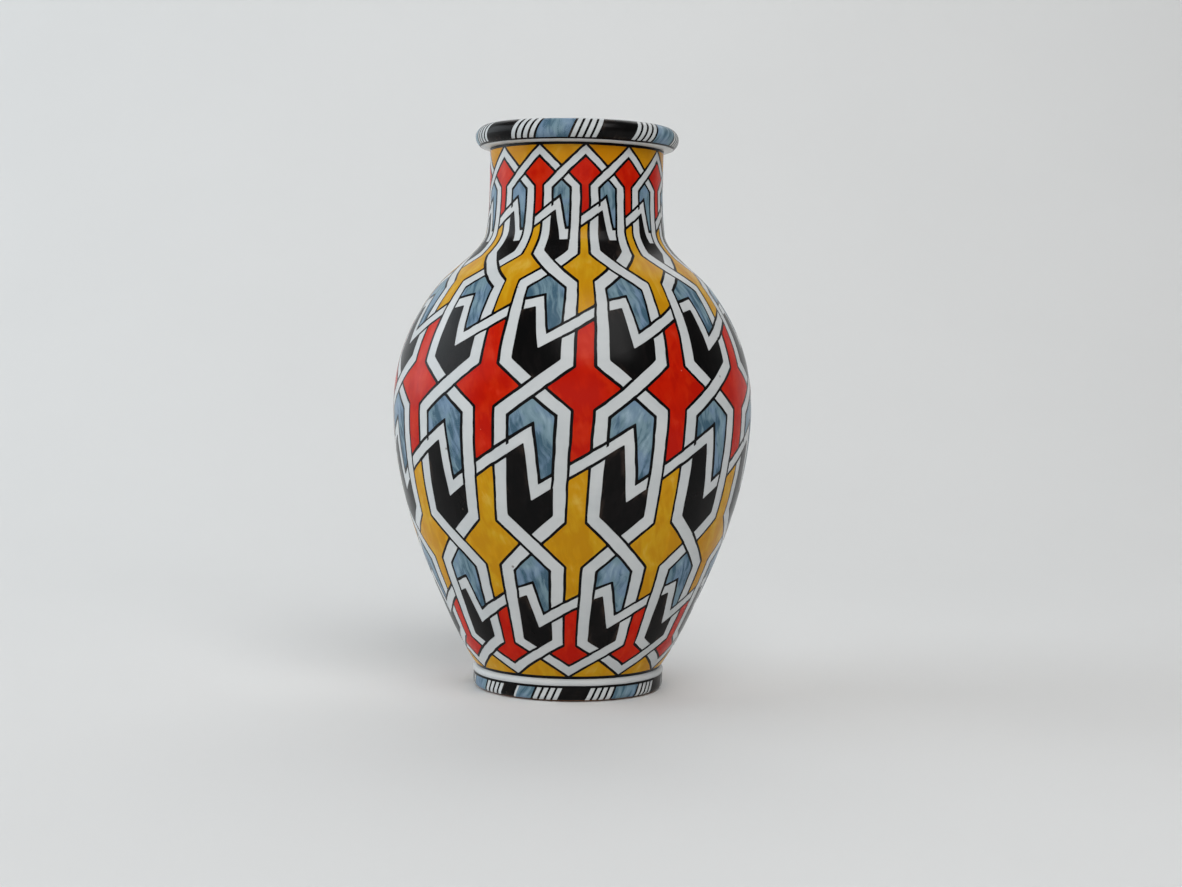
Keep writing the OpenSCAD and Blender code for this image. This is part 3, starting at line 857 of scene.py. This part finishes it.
def ring_line(place, low, high, lift):
    """A line that goes round the vase and wavers a little."""
    top = [(low, lift), ((low + high) / 2, lift), (high, lift)]
    corners = [(low, -paint_root)] + top + [(high, -paint_root)]
    profile = [Vector((p.x, p.z)) for p in (place(90, *corner) for corner in corners)]
    bm = turned(profile)
    for vert in bm.verts:
        still = Vector((vert.co.xy.length, vert.co.z))
        height, off = min(zip(corners, profile), key=lambda pair: (still - pair[1]).length)[0]
        waver = hand(vert.co).z * ring_waver / rise_of(place)
        vert.co = place(math.degrees(math.atan2(vert.co.x, -vert.co.y)), height + waver, off)
    return bm


rings = bmesh.new()
for place, low, high in (
    (on_foot, foot_band[1] - band_lap, seat_z - bead_h),
    (on_body, foot_h + ring_gap, foot_h + ring_gap + low_ring_and_shade_w),
    (on_body, rim_z - ring_gap - high_ring_and_shade_w, rim_z - ring_gap),
    (on_rim, rim_band[0] - rim_ring_a, rim_band[0]),
):
    line = ring_line(place, low, high, ring_lift)
    holder = bpy.data.meshes.new("ring")
    line.to_mesh(holder)
    line.free()
    rings.from_mesh(holder)
    bpy.data.meshes.remove(holder)
finish_piece(rings, "ring_line_paint", line_pigment, ["ring_lines"])


# Floor and backdrop in one pale sweep, in metres
sweep_half_w = 12
wall_y = 2.2
wall_h = 4
fold_r = 1.6


def sweep():
    bm = bmesh.new()
    ends = ((-sweep_half_w, -sweep_half_w, 0), (-sweep_half_w, wall_y, 0), (-sweep_half_w, wall_y, wall_h))
    line = [bm.verts.new(co) for co in ends]
    edges = [bm.edges.new(pair) for pair in zip(line, line[1:])]
    made = bmesh.ops.extrude_edge_only(bm, edges=edges)["geom"]
    far = [v for v in made if isinstance(v, bmesh.types.BMVert)]
    bmesh.ops.translate(bm, verts=far, vec=(2 * sweep_half_w, 0, 0))
    fold = [e for e in bm.edges if len(e.link_faces) == 2]
    bmesh.ops.bevel(bm, geom=fold, offset=fold_r, segments=32, profile=0.5, affect="EDGES", material=-1)
    for face in bm.faces:
        face.smooth = True
    mesh = bpy.data.meshes.new("sweep")
    bm.to_mesh(mesh)
    bm.free()
    material, tree, shader = new_material("Pale paper")
    cloud = grain(tree, place_of(tree), 3.0)
    color = mixed(tree, cloud, (0.73, 0.73, 0.72, 1), (0.76, 0.76, 0.75, 1))
    tree.links.new(color, shader.inputs["Base Color"])
    shader.inputs["Roughness"].default_value = 0.7
    mesh.materials.append(material)
    floor = bpy.data.objects.new("sweep", mesh)
    bpy.context.scene.collection.objects.link(floor)


sweep()


# Soft light
def softbox(name, place, aim, size, power, tint=(1, 1, 1)):
    lamp = bpy.data.lights.new(name, "AREA")
    lamp.shape = "RECTANGLE"
    lamp.size, lamp.size_y = size
    lamp.energy = power
    lamp.color = tint
    holder = bpy.data.objects.new(name, lamp)
    holder.location = place
    holder.rotation_euler = (Vector(aim) - Vector(place)).to_track_quat("-Z", "Y").to_euler()
    bpy.context.scene.collection.objects.link(holder)


softbox("window", (-3.0, 0.25, 1.3), (0, 0, 0.2), (3.2, 2.2), 51, (0.84, 0.93, 1.0))
softbox("front", (0.65, -2.15, 2.75), (0, 0, 0.2), (2.6, 2.2), 67)
softbox("low", (-1.2, -7.0, 1.2), (0, 0, 0.1), (8.0, 2.0), 44)
softbox("back", (0.2, 1.8, 2.3), (0, 0, 0.1), (2.6, 1.6), 20)
softbox("far floor", (-9.0, -2.0, 3.0), (-9.0, -1.99, 0.0), (9.0, 8.0), 200)
world = bpy.data.worlds.new("Studio")
world.use_nodes = True
world.node_tree.nodes["Background"].inputs["Color"].default_value = (0.9, 0.92, 0.95, 1)
world.node_tree.nodes["Background"].inputs["Strength"].default_value = 0.15
bpy.context.scene.world = world

# Camera where the photographed side was seen from
photo_w_px = 1182
focal_px = 1861
camera_place = (0, -1.17, 0.2159)
pitch_down, yaw, roll = math.radians(3.064), math.radians(0.588), math.radians(1.03)
forward = Vector((math.sin(yaw), math.cos(yaw), 0))
ahead = math.cos(pitch_down) * forward - math.sin(pitch_down) * Vector((0, 0, 1))
level = Vector((math.cos(yaw), -math.sin(yaw), 0))
upward = level.cross(ahead)
right = math.cos(roll) * level + math.sin(roll) * upward
over = math.cos(roll) * upward - math.sin(roll) * level
lens = bpy.data.cameras.new("camera")
lens.sensor_fit = "HORIZONTAL"
lens.sensor_width = 36
lens.lens = lens.sensor_width * focal_px / photo_w_px
lens.clip_start, lens.clip_end = 0.05, 50
camera = bpy.data.objects.new("camera", lens)
turn = Matrix((right, over, -ahead)).transposed().to_4x4()
camera.matrix_world = Matrix.Translation(camera_place) @ turn
bpy.context.scene.collection.objects.link(camera)
bpy.context.scene.camera = camera
bpy.context.scene.view_settings.view_transform = "Standard"

bpy.context.view_layer.update()
